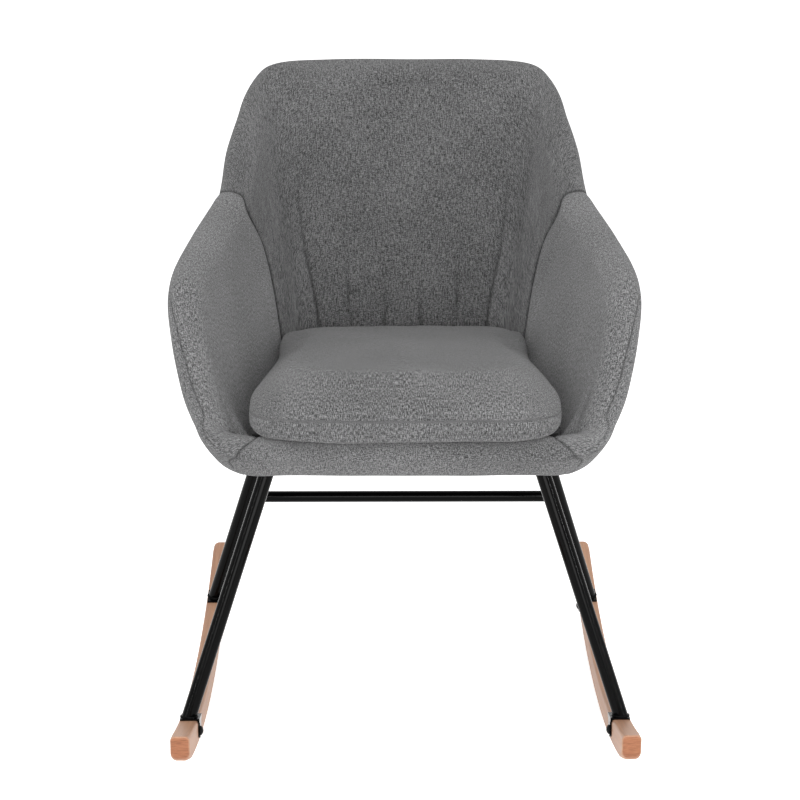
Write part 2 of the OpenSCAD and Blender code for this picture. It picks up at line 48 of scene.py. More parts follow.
# ---- the tub's shape, the same stations as the CAD, in mm ----
WALL_T, SEAT_Z, BOW = 46.0, 390.0, 5.0
ARM_W, BACK_Z, BACK_Y, BACK_TOP_W, BACK_W = 595.0, 831.0, 262.0, 204.0, 464.0
ROOT_Z, TIP_Z, TIP_Y, FRONT_Z = 683.0, 602.0, 108.0, 436.0
BASE_F, BASE_R, FRONT_Y, REAR_Y = 210.0, 172.0, 234.0, 177.0
ROOT_X, ROOT_Y = BACK_W / 2, 160.0
TIP_X = (ARM_W - WALL_T) / 2 + 5.5
RISE, FALL, RUN = ROOT_Z - TIP_Z, TIP_Z - FRONT_Z, TIP_Y + ROOT_Y
FLY, NOSE = TIP_X - BASE_F, FRONT_Y - TIP_Y
STATIONS = np.array([
    [0, REAR_Y, 0, BACK_Y, BACK_Z],
    [BASE_R * 0.41, REAR_Y, BACK_TOP_W / 2, BACK_Y - 1, BACK_Z],
    [BASE_R - 54, REAR_Y - 2, ROOT_X - 56, BACK_Y - 6, BACK_Z - 5],
    [BASE_R - 30, REAR_Y - 7, ROOT_X - 29, BACK_Y - 12, BACK_Z - 25],
    [BASE_R - 16, REAR_Y - 17, ROOT_X - 17.5, BACK_Y - 27, BACK_Z - 64],
    [BASE_R - 6, REAR_Y - 31, ROOT_X - 7, BACK_Y - 57, ROOT_Z + 44],
    [BASE_R, REAR_Y - 49, ROOT_X, ROOT_Y, ROOT_Z],
    [BASE_R + 3, REAR_Y - 77, ROOT_X + 12, ROOT_Y - 45, ROOT_Z - RISE * 0.27],
    [BASE_R + 10, 40, TIP_X - 17, ROOT_Y - RUN * 0.5, ROOT_Z - RISE * 0.55],
    [BASE_F - 14, -30, TIP_X - 3, ROOT_Y - RUN * 0.8, ROOT_Z - RISE * 0.8],
    [BASE_F - 8, -80, TIP_X + 1, -TIP_Y, TIP_Z],
    [BASE_F - 4, -115, TIP_X, -TIP_Y - NOSE * 0.18, TIP_Z - FALL * 0.15],
    [BASE_F - 1, -148, TIP_X - FLY * 0.12, -TIP_Y - NOSE * 0.41, TIP_Z - FALL * 0.4],
    [BASE_F, 58 - FRONT_Y, TIP_X - FLY * 0.31, -TIP_Y - NOSE * 0.66, TIP_Z - FALL * 0.66],
    [BASE_F - 4, 34 - FRONT_Y, TIP_X - FLY * 0.52, 20 - FRONT_Y, FRONT_Z + 28],
    [BASE_F - 16, 15 - FRONT_Y, BASE_F + 24, 2 - FRONT_Y, FRONT_Z + 10],
    [BASE_F - 40, 3 - FRONT_Y, BASE_F - 2, -7 - FRONT_Y, FRONT_Z + 3],
    [BASE_F - 84, -FRONT_Y, BASE_F - 62, -9 - FRONT_Y, FRONT_Z],
    [0, -FRONT_Y - 2, 0, -10 - FRONT_Y, FRONT_Z],
], float)
LEG_R, BAR_R, BAR_Z, STRAP_LOW = 9.5, 8.0, 222.0, 385.0  # legs, crossbar, the straps' underside
FOOT_X, TOP_RADIUS, RUNNER_R, PLATE = 275.5, 1108.0, 1140.0, 2.67  # runners, and plates on them
LEGS = {"front": ((FOOT_X, -224.0), (167.0, -142.0)), "rear": ((FOOT_X, 202.0), (173.0, 115.0))}
STEPS = 3  # k counts thirds of the way between two stations
HALF = len(STATIONS) - 1
LAST = HALF * STEPS
FLIP = np.array([-1, 1, -1, 1, 1.0])
RING = np.array([STATIONS[m] if m <= HALF else STATIONS[2 * HALF - m] * FLIP
                 for m in range(2 * HALF)])


def station(k):
    """The wall's centre at the base and its crest at steps k, as rows of five numbers."""
    t = np.asarray(k, float) / STEPS
    i = np.floor(t).astype(int)
    t = (t - i)[..., None]
    p, q, r, s = (RING[(i + j) % (2 * HALF)] for j in (-1, 0, 1, 2))
    square, cube = 2 * p - 5 * q + 4 * r - s, 3 * q - p - 3 * r + s
    return 0.5 * (2 * q + (r - p) * t + square * t**2 + cube * t**3)


def unit(v):
    return v / np.linalg.norm(v, axis=-1, keepdims=True)


def outward(k):
    """Unit vectors out of the wall in plan."""
    a, b = station(k - 0.5), station(k + 0.5)
    d = (b[..., :2] + b[..., 2:4] - a[..., :2] - a[..., 2:4]) / 2
    return unit(np.stack([-d[..., 1], d[..., 0]], -1))


def wall_h(k):
    return station(k)[..., 4] - SEAT_Z


def wall_point(k, a, h):
    """Point a mm outside the wall's middle and h mm above its base, in mm."""
    s = station(k)
    f = h / (s[..., 4] - SEAT_Z)
    n = outward(k) * (a + BOW * np.sin(np.pi * f))[..., None]
    xy = s[..., :2] + (s[..., 2:4] - s[..., :2]) * f[..., None] + n
    return np.concatenate([xy, (SEAT_Z + h)[..., None]], -1)


def smooth(lo, hi, x):
    t = np.clip((np.asarray(x, float) - lo) / (hi - lo), 0, 1)
    return t * t * (3 - 2 * t)


def bump(x, width):
    """A rounded ridge of height 1 at x = 0."""
    return np.exp(-((np.asarray(x, float) / width) ** 2))


def groove(x, width):
    """A sewn line: a sharp valley at x = 0 between rounded shoulders."""
    return np.exp(-np.abs(np.asarray(x, float)) / width)


def value_noise(p, scale, seed):
    """Smooth noise from -1 to 1 at points p (n, 3) in metres, in cells of scale metres."""
    return np.array([noise.noise(Vector(c)) for c in p / scale + seed * 17.31])


# ---- meshes ----
def set_seam_shade(me, values):
    """Keep how strongly painted seam shade darkens each vertex, for the fabric."""
    me.attributes.new("seam", "FLOAT", "POINT").data.foreach_set(
        "value", np.asarray(values, np.float32))


def new_object(name, verts, faces, mats, uvs=None, seam=None):
    """A smooth-shaded mesh. uvs has a pair for each corner, seam a value of painted seam shade for
    each vertex.
    """
    me = bpy.data.meshes.new(name)
    me.from_pydata([tuple(v) for v in verts], [], faces)
    me.validate()
    for m in mats:
        me.materials.append(m)
    if uvs is not None:
        layer = me.uv_layers.new(name="UVMap")
        layer.data.foreach_set("uv", np.asarray(uvs, np.float32).ravel())
    if seam is not None:
        set_seam_shade(me, seam)
    me.polygons.foreach_set("use_smooth", [True] * len(me.polygons))
    ob = bpy.data.objects.new(name, me)
    scene.collection.objects.link(ob)
    return ob


def face_outwards(ob):
    """Turn every face of a closed mesh outwards."""
    bm = bmesh.new()
    bm.from_mesh(ob.data)
    bmesh.ops.recalc_face_normals(bm, faces=bm.faces)
    bm.to_mesh(ob.data)
    bm.free()


def ring_faces(rings, n):
    """Quads between rings of n points each, one ring after the other."""
    return [[a * n + i, (a + 1) * n + i, (a + 1) * n + (i + 1) % n, a * n + (i + 1) % n]
            for a in range(rings - 1) for i in range(n)]


def grid_normals(p):
    """Unit normals of a grid of points (rows, columns, 3)."""
    du = np.gradient(p, axis=0)
    dv = np.gradient(p, axis=1)
    n = np.cross(du, dv)
    return n / np.maximum(np.linalg.norm(n, axis=-1, keepdims=True), 1e-9)


# ---- the padding's section ----
R = WALL_T / 2
SLOT = 5.2  # half the width of the slot over the panel
FOOT = 12.3  # height of the inner leg's foot on the seat board
OUT, CAP, IN, UNDER, SLOT_SIDE = range(5)


def section(rows, round_pts):
    """The padding's section as (zone, value, across) rows, from the panel round the outside."""
    s = [(UNDER, 0.0, SLOT), (UNDER, 0.0, R - 13), (UNDER, 0.0, R - 7.5), (UNDER, 0.8, R - 4),
         (UNDER, 2.6, R - 1.6), (UNDER, 5.6, R - 0.4), (UNDER, 9.0, R)]
    s += [(OUT, v, R) for v in np.linspace(0, 1, rows)[:-1]]
    s += [(CAP, u, 0) for u in np.linspace(0, 180, round_pts)]
    s += [(IN, v, -R) for v in np.linspace(1, 0, rows)[1:]]
    s += [(UNDER, FOOT - 0.01, -R + 3), (UNDER, FOOT - 0.01, -SLOT)]
    s += [(SLOT_SIDE, v, a) for v, a in ((0.5, -SLOT), (1.0, -SLOT), (1.0, SLOT), (0.5, SLOT))]
    return s


def padding_grid(sect, kk):
    """Across and up values of every point, for a grid of steps kk (rows along the wall)."""
    h = wall_h(kk)
    panel = h - np.minimum(30, h * 0.35) + 2
    a, up = np.zeros_like(kk), np.zeros_like(kk)
    for j, (zone, v, across) in enumerate(sect):
        hj, pj = h[:, j], panel[:, j]
        if zone == UNDER:
            a[:, j], up[:, j] = across, v
        elif zone in (OUT, IN):
            a[:, j], up[:, j] = across, FOOT + (hj - R - FOOT) * v
        elif zone == CAP:
            a[:, j] = R * math.cos(math.radians(v))
            up[:, j] = hj - R + R * math.sin(math.radians(v))
        else:
            a[:, j], up[:, j] = across, FOOT + (pj - FOOT) * v
    return a, up


SEAM_BACK, SEAM_BACK_TOP = 18.2, 19.0  # steps of the seam between the back and an arm
SEAM_FRONT, SEAM_FRONT_TOP, SEAM_FRONT_IN = 46.0, 47.2, 49.7  # and between an arm and the front


def seam_back(level, angle):
    """Step at which the back meets an arm, at a level of the inner face or an angle of the cap."""
    level = np.clip(level, 0, 1)
    on_face = SEAM_BACK + 0.8 * level**3 - 2.7 * np.sin(math.pi * level) ** 1.5
    on_cap = SEAM_BACK_TOP + 0.6 * bump((np.nan_to_num(angle) - 90) / 60, 0.8)
    return np.where(np.isnan(angle), on_face, on_cap)


def seam_front(zone, value):
    """Step at which an arm meets the front band."""
    if zone == CAP:
        return SEAM_FRONT_TOP + 2.5 * float(smooth(-20, 90, value))
    if zone in (IN, SLOT_SIDE) or (zone == UNDER and value > 12):
        return SEAM_FRONT_IN
    return SEAM_FRONT + (1.4 * value**2.2 if zone == OUT else 0)


def back_edge(zone, value):
    """Step at which the back ends."""
    if zone == CAP:
        return float(seam_back(0, value))
    if zone == IN:
        return float(seam_back(value, np.nan))
    return SEAM_BACK


# pleats of the back: step, lean in steps, level at which it ends, depth in mm
PLEATS = ((1.0, 0.05, 0.60, 2.0), (3.0, 0.0, 0.80, 3.6), (5.5, 1.0, 0.90, 7.0))
# creases over an arm's top: step, lean, from and to which angle, depth in mm
CREASES = ((23.4, 0.9, 70, 150, 1.5), (25.4, 0.6, 62, 125, 1.1), (21.5, 0.7, 85, 150, 0.8))
ARM_LINE_FROM = 31.0  # step from which the sewn line along an arm is at full depth
CORNER_FOAM = 12.0  # how far the front corners' foam leans in, in mm


def relief_mm(piece, kk, sect, pos, h):
    """How far the cover stands out (+) or is drawn in (-) at each point, in mm; how strongly
    painted shade darkens it along seams and pleats; skin.
    """
    zone = np.array([s[0] for s in sect])
    val = np.array([s[1] for s in sect], float)
    level = np.where(zone == IN, val, np.where(zone == CAP, 1.0, 0.0)) + 0 * kk
    angle = np.where(zone == CAP, val, np.where(zone == IN, 180.0, 0.0)) + 0 * kk
    inner = np.where(zone == IN, 1.0, np.where(zone == CAP, smooth(90, 180, val), 0.0)) + 0 * kk
    skin = np.isin(zone, (OUT, CAP, IN)) + 0.0 * kk
    step = np.linalg.norm(np.gradient(pos, axis=0), axis=-1) / np.maximum(
        np.abs(np.gradient(kk, axis=0)), 1e-6) * 1000  # mm along the wall for one step
    d, seam = np.zeros_like(kk), np.zeros_like(kk)
    flat = pos.reshape(-1, 3)
    soft = value_noise(flat, 0.13, 1 + len(piece)) * 1.1
    soft = soft + value_noise(flat, 0.05, 3 + len(piece)) * 0.45
    d += soft.reshape(kk.shape)
    if piece == "back":
        ak = np.abs(kk)
        body = smooth(0.9, 0.12, level) * inner
        for centre, lean, top, deep in PLEATS:
            x = (ak - centre - lean * smooth(0.2, 0.7, level)) * step
            fade = smooth(top, 0.16, level) * inner
            tuck = np.where(x > 0, bump(x, 9), bump(x, 20))  # steeper on the side of the arm
            d -= deep * fade * (0.55 * groove(x, 3) + 0.6 * tuck)
            hollow = inner * 0.5 * smooth(0.5, 1.0, level) * (centre < 5) * bump(x, 7)
            d -= hollow * (1.6 if centre < 2 else 2.2)
            # painted shade along each pleat's fold
            seam = np.maximum(seam, fade * bump(x, 2.0) * (1.0 if centre > 5 else 0.6))
        # between the last pleat and the arm the cover bulges
        d += 3.6 * bump(ak - 11.2, 3.0) * smooth(0.8, 0.3, level) * inner
        d += body * 2.4
        # the rail of the back is a little fuller than its middle
        d += 1.2 * bump(level - 0.9, 0.14) * inner
    if piece == "arm":
        line = 38 + 36 * smooth(29, 38, kk) - 62 * smooth(42.5, 46.5, kk)
        x = (angle - line) / 180 * math.pi * R
        on = skin * (zone == CAP)[None, :] * smooth(18.5, 21, kk) * smooth(47.4, 46.3, kk)
        strength = 0.55 + 0.45 * smooth(ARM_LINE_FROM - 4, ARM_LINE_FROM + 3, kk)
        d -= on * strength * (1.7 * groove(x, 1.8) + 0.9 * bump(x, 7))
        # painted shade along the sewn line over the arm
        seam = np.maximum(seam, on * strength * bump(x, 1.1) * 0.95)
        # little creases over the arm's top where the cover turns outwards
        for centre, lean, a0, a1, deep in CREASES:
            x = (kk - centre - lean * (angle - 110) / 60) * step
            span = smooth(a0 - 22, a0 + 8, angle) * smooth(a1 + 22, a1 - 8, angle)
            span *= (zone == CAP)[None, :]
            d -= deep * span * (groove(x, 4.5) - 0.45 * bump(x - 9, 6))
    # the cover is drawn in where two pieces are sewn together
    ends = {"back": (("back", 1), ("back", -1)),
            "arm": (("back", -1), ("front", 1)),
            "front": (("front", 1), ("front", -1))}[piece]
    for kind, side in ends:
        edge = kk[-1] if side > 0 else kk[0]
        x = np.abs(kk - edge[None, :]) * step
        if kind == "back":
            # the arm's end is a soft roll, and the back sinks in behind it
            broad = bump(x, 14) * 6.0 if piece == "arm" else bump(x, 18) * 5.2
            broad = broad * (0.25 + 0.75 * inner)
            d -= skin * (1.8 * groove(x, 2.6) + broad)
            d += (piece == "arm") * 2.0 * bump(x - 34, 20) * inner
        else:
            d -= skin * (1.7 * groove(x, 2.2) + 0.6 * bump(x, 9))
        # painted shade along the seams between the pieces
        seam = np.maximum(seam, skin * bump(x, 1.5) * (0.6 if kind == "back" else 0.85))
    # the foam of the front corners leans in towards the cushion, more and more towards its foot
    near = np.where(kk > LAST, 2 * LAST - kk, kk)
    if piece != "back":
        d += CORNER_FOAM * bump(near - 43, 6.0) * inner * smooth(1.05, 0.45, level)
    # the lower front corners hang a little outside the frame
    low = np.where(zone == OUT, 1.0, np.where(zone == UNDER, (val < 12) * 1.0, 0.0))[None, :]
    corner = bump((near if piece == "front" else np.abs(kk)) - 46.6, 2.4)
    d += low * corner * 3.0 * smooth(62, 10, h)
    return d, seam, skin


EASE_TURNS, EASE_LOW_TURNS = 500, 61  # how often the back's inner face is eased, and its foot


def soften(pos, sect):
    """Foam fills the tight inner corners of the back: its inner face is eased along the wall."""
    share = np.array([1.0 if z == IN else (float(smooth(90, 170, v)) if z == CAP else 0.0)
                      for z, v, _ in sect])
    high = np.array([float(smooth(0.35, 0.9, v)) if z == IN else 1.0 for z, v, _ in sect])
    eased = pos.copy()
    keep = np.minimum(np.arange(len(pos)), np.arange(len(pos))[::-1])
    ends = smooth(0, 16, keep)[:, None, None]
    for turn in range(EASE_TURNS):
        eased[1:-1] = (eased[:-2] + 2 * eased[1:-1] + eased[2:]) / 4
        if turn == EASE_LOW_TURNS - 1:
            tight = eased.copy()
    eased = tight + (eased - tight) * high[None, :, None]
    return pos + (eased - pos) * share[None, :, None] * ends


def padding(name, piece, k0, k1, columns, rows, round_pts, mats, mirror=False):
    """One closed padded piece of the tub. k0 and k1 give its end steps along the section."""
    sect = section(rows, round_pts)
    u = np.linspace(0, 1, columns)
    # points crowd towards both ends, where the seams are
    u = u + 0.06 * np.sin(4 * np.pi * u) / (2 * np.pi) - 0.10 * np.sin(2 * np.pi * u) / (2 * np.pi)
    a0 = np.array([k0(z, v) for z, v, _ in sect], float)
    a1 = np.array([k1(z, v) for z, v, _ in sect], float)
    kk = a0[None, :] + (a1 - a0)[None, :] * u[:, None]
    a, h = padding_grid(sect, kk)
    pos = wall_point(kk, a, h) / 1000
    if piece == "back":
        pos = soften(pos, sect)
    n = grid_normals(pos)
    out = np.concatenate([outward(kk), np.zeros(kk.shape + (1,))], -1)
    side = np.sign((n * out * np.where(a[..., None] >= 0, 1, -1)).sum(-1).sum())
    n = n * side
    d, seam, skin = relief_mm(piece, kk, sect, pos, h)
    zone = np.array([s[0] for s in sect])
    moved = (skin + (zone == UNDER)[None, :] * (a > R - 9)) > 0
    pos = pos + n * (d * moved)[..., None] / 1000
    rows_n, cols_n = kk.shape
    # real-size cloth coordinates: along the wall at each height, and round the section
    lengths = np.linalg.norm(np.diff(pos, axis=0), axis=-1)
    along = np.concatenate([np.zeros((1, cols_n)), np.cumsum(lengths, 0)])
    along -= along[rows_n // 2]
    lengths = np.linalg.norm(np.diff(pos, axis=1), axis=-1)
    around = np.concatenate([np.zeros((rows_n, 1)), np.cumsum(lengths, 1)], 1)
    around -= around[:, [int(np.argmax(zone == CAP)) + round_pts // 2]]
    if mirror:
        pos = pos * np.array([-1, 1, 1])
        along = -along
    idx = np.arange(rows_n * cols_n).reshape(rows_n, cols_n)
    faces, uvs = [], []
    flip = (side < 0) != mirror
    for i in range(rows_n - 1):
        for j in range(cols_n):
            j2 = (j + 1) % cols_n
            quad = [(i, j), (i + 1, j), (i + 1, j2), (i, j2)]
            if not flip:
                quad = quad[::-1]
            faces.append([int(idx[q]) for q in quad])
            wrap = around[0, -1] - around[0, 0] if j2 == 0 else 0
            uvs += [(along[q], around[q] + (wrap if q[1] == 0 and j2 == 0 else 0)) for q in quad]
    for i, order in ((0, 1), (rows_n - 1, -1)):
        ring = [(i, j) for j in range(cols_n)][::order if not flip else -order]
        faces.append([int(idx[q]) for q in ring])
        uvs += [(pos[q][0], pos[q][2]) for q in ring]
    ob = new_object(name, pos.reshape(-1, 3), faces, mats, uvs, seam.ravel())
    face_outwards(ob)
    return ob


# ---- node trees ----
def tree_of(name, **sockets):
    """A new material with a Principled shader whose own sockets are set from sockets."""
    m = bpy.data.materials.new(name)
    m.use_nodes = True
    t = m.node_tree
    shader = t.nodes["Principled BSDF"]
    for key, value in sockets.items():
        shader.inputs[key.replace("_", " ")].default_value = value
    return m, t, shader


def link(t, a, b):
    t.links.new(a, b)


def add(t, kind, inputs=None, **props):
    n = t.nodes.new(kind)
    for key, value in props.items():
        setattr(n, key, value)
    for key, value in (inputs or {}).items():
        sock = n.inputs[key]
        if isinstance(value, bpy.types.NodeSocket):
            t.links.new(value, sock)
        else:
            sock.default_value = value
    return n


def maths(t, op, *values):
    return add(t, "ShaderNodeMath", dict(enumerate(values)), operation=op).outputs[0]


def scaled(t, vec, x, y, z):
    return add(t, "ShaderNodeMapping", {"Vector": vec, "Scale": (x, y, z)}).outputs[0]


def object_pos(t):
    return add(t, "ShaderNodeTexCoord").outputs["Object"]


def mapped(t, value, to_low, to_high, low=0.0, high=1.0):
    """value taken from low..high to to_low..to_high."""
    ends = {0: value, 1: low, 2: high, 3: to_low, 4: to_high}
    return add(t, "ShaderNodeMapRange", ends).outputs[0]


def facing(t, axis):
    """How squarely the surface faces along an axis, 0 to 1, whichever way."""
    normal = add(t, "ShaderNodeNewGeometry").outputs["True Normal"]
    return maths(t, "ABSOLUTE", add(t, "ShaderNodeSeparateXYZ", {0: normal}).outputs[axis])


def seen_directly(t):
    """1 for camera, glossy and transmission rays, 0 for the rays that light the chair."""
    rays = add(t, "ShaderNodeLightPath").outputs
    return maths(t, "MAXIMUM", rays["Is Camera Ray"],
                 maths(t, "MAXIMUM", rays["Is Glossy Ray"], rays["Is Transmission Ray"]))


def noise_fac(t, vec, scale, detail=2.0, rough=0.5):
    return add(t, "ShaderNodeTexNoise", {"Vector": vec, "Scale": scale, "Detail": detail,
                                         "Roughness": rough}).outputs["Fac"]


def stretched(t, vec, scale, detail, rough):
    return noise_fac(t, scaled(t, vec, *scale), 1.0, detail, rough)


def ramp(t, fac, stops):
    n = add(t, "ShaderNodeValToRGB", {"Fac": fac})
    n.color_ramp.interpolation = "LINEAR"
    els = n.color_ramp.elements
    while len(els) < len(stops):
        els.new(0.5)
    for e, (at, col) in zip(els, stops):
        e.position = at
        e.color = tuple(col) + (1.0,) if len(col) == 3 else col
    return n.outputs[0]


def mix_rgb(t, fac, a, b, blend="MIX"):
    n = add(t, "ShaderNodeMix", data_type="RGBA", blend_type=blend)
    for number, value in ((0, fac), (6, a), (7, b)):  # the colour sockets of a Mix node
        if isinstance(value, bpy.types.NodeSocket):
            t.links.new(value, n.inputs[number])
        else:
            n.inputs[number].default_value = value + (1.0,) if isinstance(value, tuple) else value
    return n.outputs[2]


def surface(t, shader, colour, rough, height, distance, strength):
    """Join colour, roughness and a bump of distance m to the shader."""
    b = add(t, "ShaderNodeBump", {"Height": height, "Distance": distance, "Strength": strength})
    for key, value in (("Base Color", colour), ("Roughness", rough), ("Normal", b.outputs[0])):
        link(t, value, shader.inputs[key])


THREAD_PITCH = 0.0013  # m between the threads of the weave


def fabric(name, level, slub, contrast, warp_share=1.0, weft_share=0.9, slub_share=0.6,
           fleck_share=1.7):
    """Heathered grey plain weave, laid out in metres of cloth. level is its mean reflectance, and
    slub how closely its thicker yarns lie across and along the cloth."""
    m, t, sh = tree_of(name, Sheen_Weight=0.25, Sheen_Roughness=0.45, Specular_IOR_Level=0.15)
    uv = add(t, "ShaderNodeUVMap", uv_map="UVMap").outputs[0]
    warp = stretched(t, uv, (820, 200, 1), 1.0, 0.5)
    weft = stretched(t, uv, (200, 820, 1), 1.0, 0.5)
    flecks = stretched(t, uv, (1050, 1050, 1), 1.0, 0.6)
    slubs = stretched(t, uv, (*slub, 1), 2.0, 0.6)
    cloud = stretched(t, uv, (9, 9, 1), 3.0, 0.5)
    shares = ((warp, warp_share), (weft, weft_share), (flecks, fleck_share), (slubs, slub_share),
              (cloud, 0.3))
    total = 0.0
    for part, share in shares:
        total = maths(t, "MULTIPLY_ADD", part, share, total)
    middle = 0.5 * sum(share for _, share in shares)
    fac = maths(t, "MULTIPLY_ADD", total, contrast, 0.5 - middle * contrast)
    tones = [tuple(level * s * c for c in (1.0, 1.0, 1.012)) for s in (0.22, 0.62, 1.0, 1.5, 2.3)]
    colour = ramp(t, fac, list(zip((0.0, 0.3, 0.5, 0.7, 1.0), tones)))
    # single threads of the plain weave
    sep = add(t, "ShaderNodeSeparateXYZ", {0: uv})
    thread = math.pi / THREAD_PITCH
    across = maths(t, "SINE", maths(t, "MULTIPLY", sep.outputs[0], thread))
    down = maths(t, "SINE", maths(t, "MULTIPLY", sep.outputs[1], thread))
    over = maths(t, "MULTIPLY", across, down)
    shade = maths(t, "MULTIPLY_ADD", maths(t, "ABSOLUTE", over), 0.22, 0.88)
    colour = mix_rgb(t, 1.0, colour, shade, "MULTIPLY")
    # seam holds painted shade along sewn lines and pleats: the cloth is darkened there, broken into
    # dashes like stitches
    seam = add(t, "ShaderNodeAttribute", attribute_name="seam").outputs["Fac"]
    seam_shade_dashes = maths(t, "MULTIPLY", seam, maths(t, "MULTIPLY_ADD", flecks, 0.8, 0.4))
    colour = mix_rgb(t, seam_shade_dashes, colour, (level * 0.12,) * 3)
    height = maths(t, "ADD", maths(t, "MULTIPLY", maths(t, "ABSOLUTE", over), 0.6), fac)
    surface(t, sh, colour, mapped(t, fac, 0.84, 0.98), height, 0.0006, 0.8)
    return m


def gloss_black(name, base, rough):
    """Powder-coated or painted steel, with a faint orange peel and dulled patches."""
    m, t, sh = tree_of(name, Specular_IOR_Level=0.07)
    pos = object_pos(t)
    peel = noise_fac(t, pos, 900.0, 2.0)
    dull = noise_fac(t, pos, 35.0, 3.0)
    rough = mapped(t, dull, rough * 0.8, rough * 1.25, 0.3, 0.7)
    worn = (base * 1.35, base * 1.35, base * 1.4)
    col = ramp(t, dull, [(0.3, (base, base, base * 1.06)), (0.75, worn)])
    surface(t, sh, col, rough, peel, 0.00012, 0.35)
    return m


BEND_R = 1.14  # m, the runners' radius, which the grain follows


def beech(name):
    """Pale pinkish beech: fine grain along the bend, short flecks, browner end grain."""
    m, t, sh = tree_of(name, Specular_IOR_Level=0.4, Coat_Weight=0.12, Coat_Roughness=0.35)
    pos = object_pos(t)
    sep = add(t, "ShaderNodeSeparateXYZ", {0: pos})
    lift = maths(t, "SUBTRACT", BEND_R, sep.outputs[2])
    radius = maths(t, "SQRT", maths(t, "ADD", maths(t, "MULTIPLY", lift, lift),
                                    maths(t, "MULTIPLY", sep.outputs[1], sep.outputs[1])))
    along = maths(t, "MULTIPLY", maths(t, "ARCTAN2", sep.outputs[1], lift), BEND_R)
    flat = add(t, "ShaderNodeCombineXYZ", {0: sep.outputs[0], 1: along, 2: radius}).outputs[0]
    grain = stretched(t, flat, (420, 9, 420), 4.0, 0.6)
    bands = stretched(t, flat, (60, 3, 60), 2.0, 0.5)
    fac = maths(t, "ADD", maths(t, "MULTIPLY", grain, 0.6), maths(t, "MULTIPLY", bands, 0.4))
    side = ramp(t, fac, [(0.30, (0.32, 0.155, 0.09)), (0.48, (0.445, 0.24, 0.147)),
                         (0.62, (0.51, 0.288, 0.18)), (0.8, (0.57, 0.335, 0.215))])
    flecks = stretched(t, flat, (900, 110, 900), 1.0, 0.5)
    side = mix_rgb(t, mapped(t, flecks, 0.0, 0.55, 0.60, 0.70), side, (0.36, 0.21, 0.13))
    # end grain: rings and pores, a warmer and darker tone
    rings = stretched(t, flat, (90, 1, 700), 3.0, 0.6)
    end = ramp(t, rings, [(0.3, (0.20, 0.07, 0.028)), (0.5, (0.285, 0.105, 0.046)),
                          (0.72, (0.35, 0.145, 0.068))])
    is_end = mapped(t, facing(t, 1), 0.0, 1.0, 0.70, 0.90)
    colour = mix_rgb(t, is_end, side, end)
    surface(t, sh, colour, mapped(t, grain, 0.42, 0.58, 0.3, 0.7), grain, 0.00015, 0.5)
    return m


def layered_ply(name):
    """Birch plywood: pale faces with long grain, and darker glued layers on the edges."""
    m, t, sh = tree_of(name, Specular_IOR_Level=0.35)
    pos = object_pos(t)
    grain = stretched(t, pos, (30, 260, 30), 4.0, 0.6)
    face = ramp(t, grain, [(0.3, (0.42, 0.27, 0.15)), (0.55, (0.60, 0.43, 0.26)),
                           (0.8, (0.68, 0.52, 0.34))])
    layers = add(t, "ShaderNodeTexWave", {"Vector": scaled(t, pos, 1, 1, 420), "Scale": 1.0,
                                          "Distortion": 0.6}, bands_direction="Z")
    edge = ramp(t, layers.outputs["Fac"], [(0.2, (0.30, 0.17, 0.09)), (0.8, (0.60, 0.43, 0.27))])
    is_face = mapped(t, facing(t, 2), 0.0, 1.0, 0.4, 0.8)
    colour = mix_rgb(t, is_face, edge, face)
    surface(t, sh, colour, mapped(t, grain, 0.5, 0.75), grain, 0.0002, 0.5)
    return m


def lining(name, tone, pitch):
    """Thin bonded or woven lining with dimples and loose fibres."""
    m, t, sh = tree_of(name, Sheen_Weight=0.15, Sheen_Roughness=0.5, Specular_IOR_Level=0.25)
    pos = object_pos(t)
    cells = add(t, "ShaderNodeTexVoronoi", {"Vector": pos, "Scale": 1 / pitch}, feature="F1")
    cells = cells.outputs["Distance"]
    fibre = stretched(t, pos, (900, 200, 900), 3.0, 0.6)
    fac = maths(t, "ADD", maths(t, "MULTIPLY", cells, 0.6), maths(t, "MULTIPLY", fibre, 0.5))
    col = ramp(t, fac, [(0.2, (tone * 0.5,) * 3), (0.6, (tone,) * 3), (0.95, (tone * 2.0,) * 3)])
    surface(t, sh, col, mapped(t, fibre, 0.75, 0.98), fac, 0.0004, 0.6)
    return m


def zinc(name):
    """Zinc-plated steel, faintly mottled and brushed."""
    m, t, sh = tree_of(name, Metallic=1.0)
    pos = object_pos(t)
    spangle = noise_fac(t, pos, 260.0, 3.0)
    col = ramp(t, spangle, [(0.3, (0.36, 0.37, 0.38)), (0.6, (0.56, 0.56, 0.55)),
                            (0.8, (0.66, 0.64, 0.58))])
    surface(t, sh, col, mapped(t, spangle, 0.25, 0.5), spangle, 0.0001, 0.4)
    return m


# levels and contrasts were tuned against the photograph under the lights below; the real cloth
# looks like one cloth, so their differences make up for the lights: the different levels are
# painted light and shade
M_BACK = fabric("fabric_back", 0.101, slub=(900, 60), contrast=1.55, slub_share=0.9)
M_ARMS = fabric("fabric_arms", 0.139, slub=(300, 950), contrast=1.25, weft_share=1.2,
                slub_share=1.2, fleck_share=1.6)
M_FRONT = fabric("fabric_front", 0.114, slub=(400, 800), contrast=1.6)
M_CUSHION = fabric("fabric_cushion", 0.119, slub=(950, 200), contrast=1.2, warp_share=1.4,
                   slub_share=1.3, fleck_share=1.4)
M_STEEL = gloss_black("black_steel", 0.0008, 0.09)
M_BOLTS = gloss_black("black_bolts", 0.006, 0.35)
M_BEECH = beech("beech")
M_PLY = layered_ply("plywood")
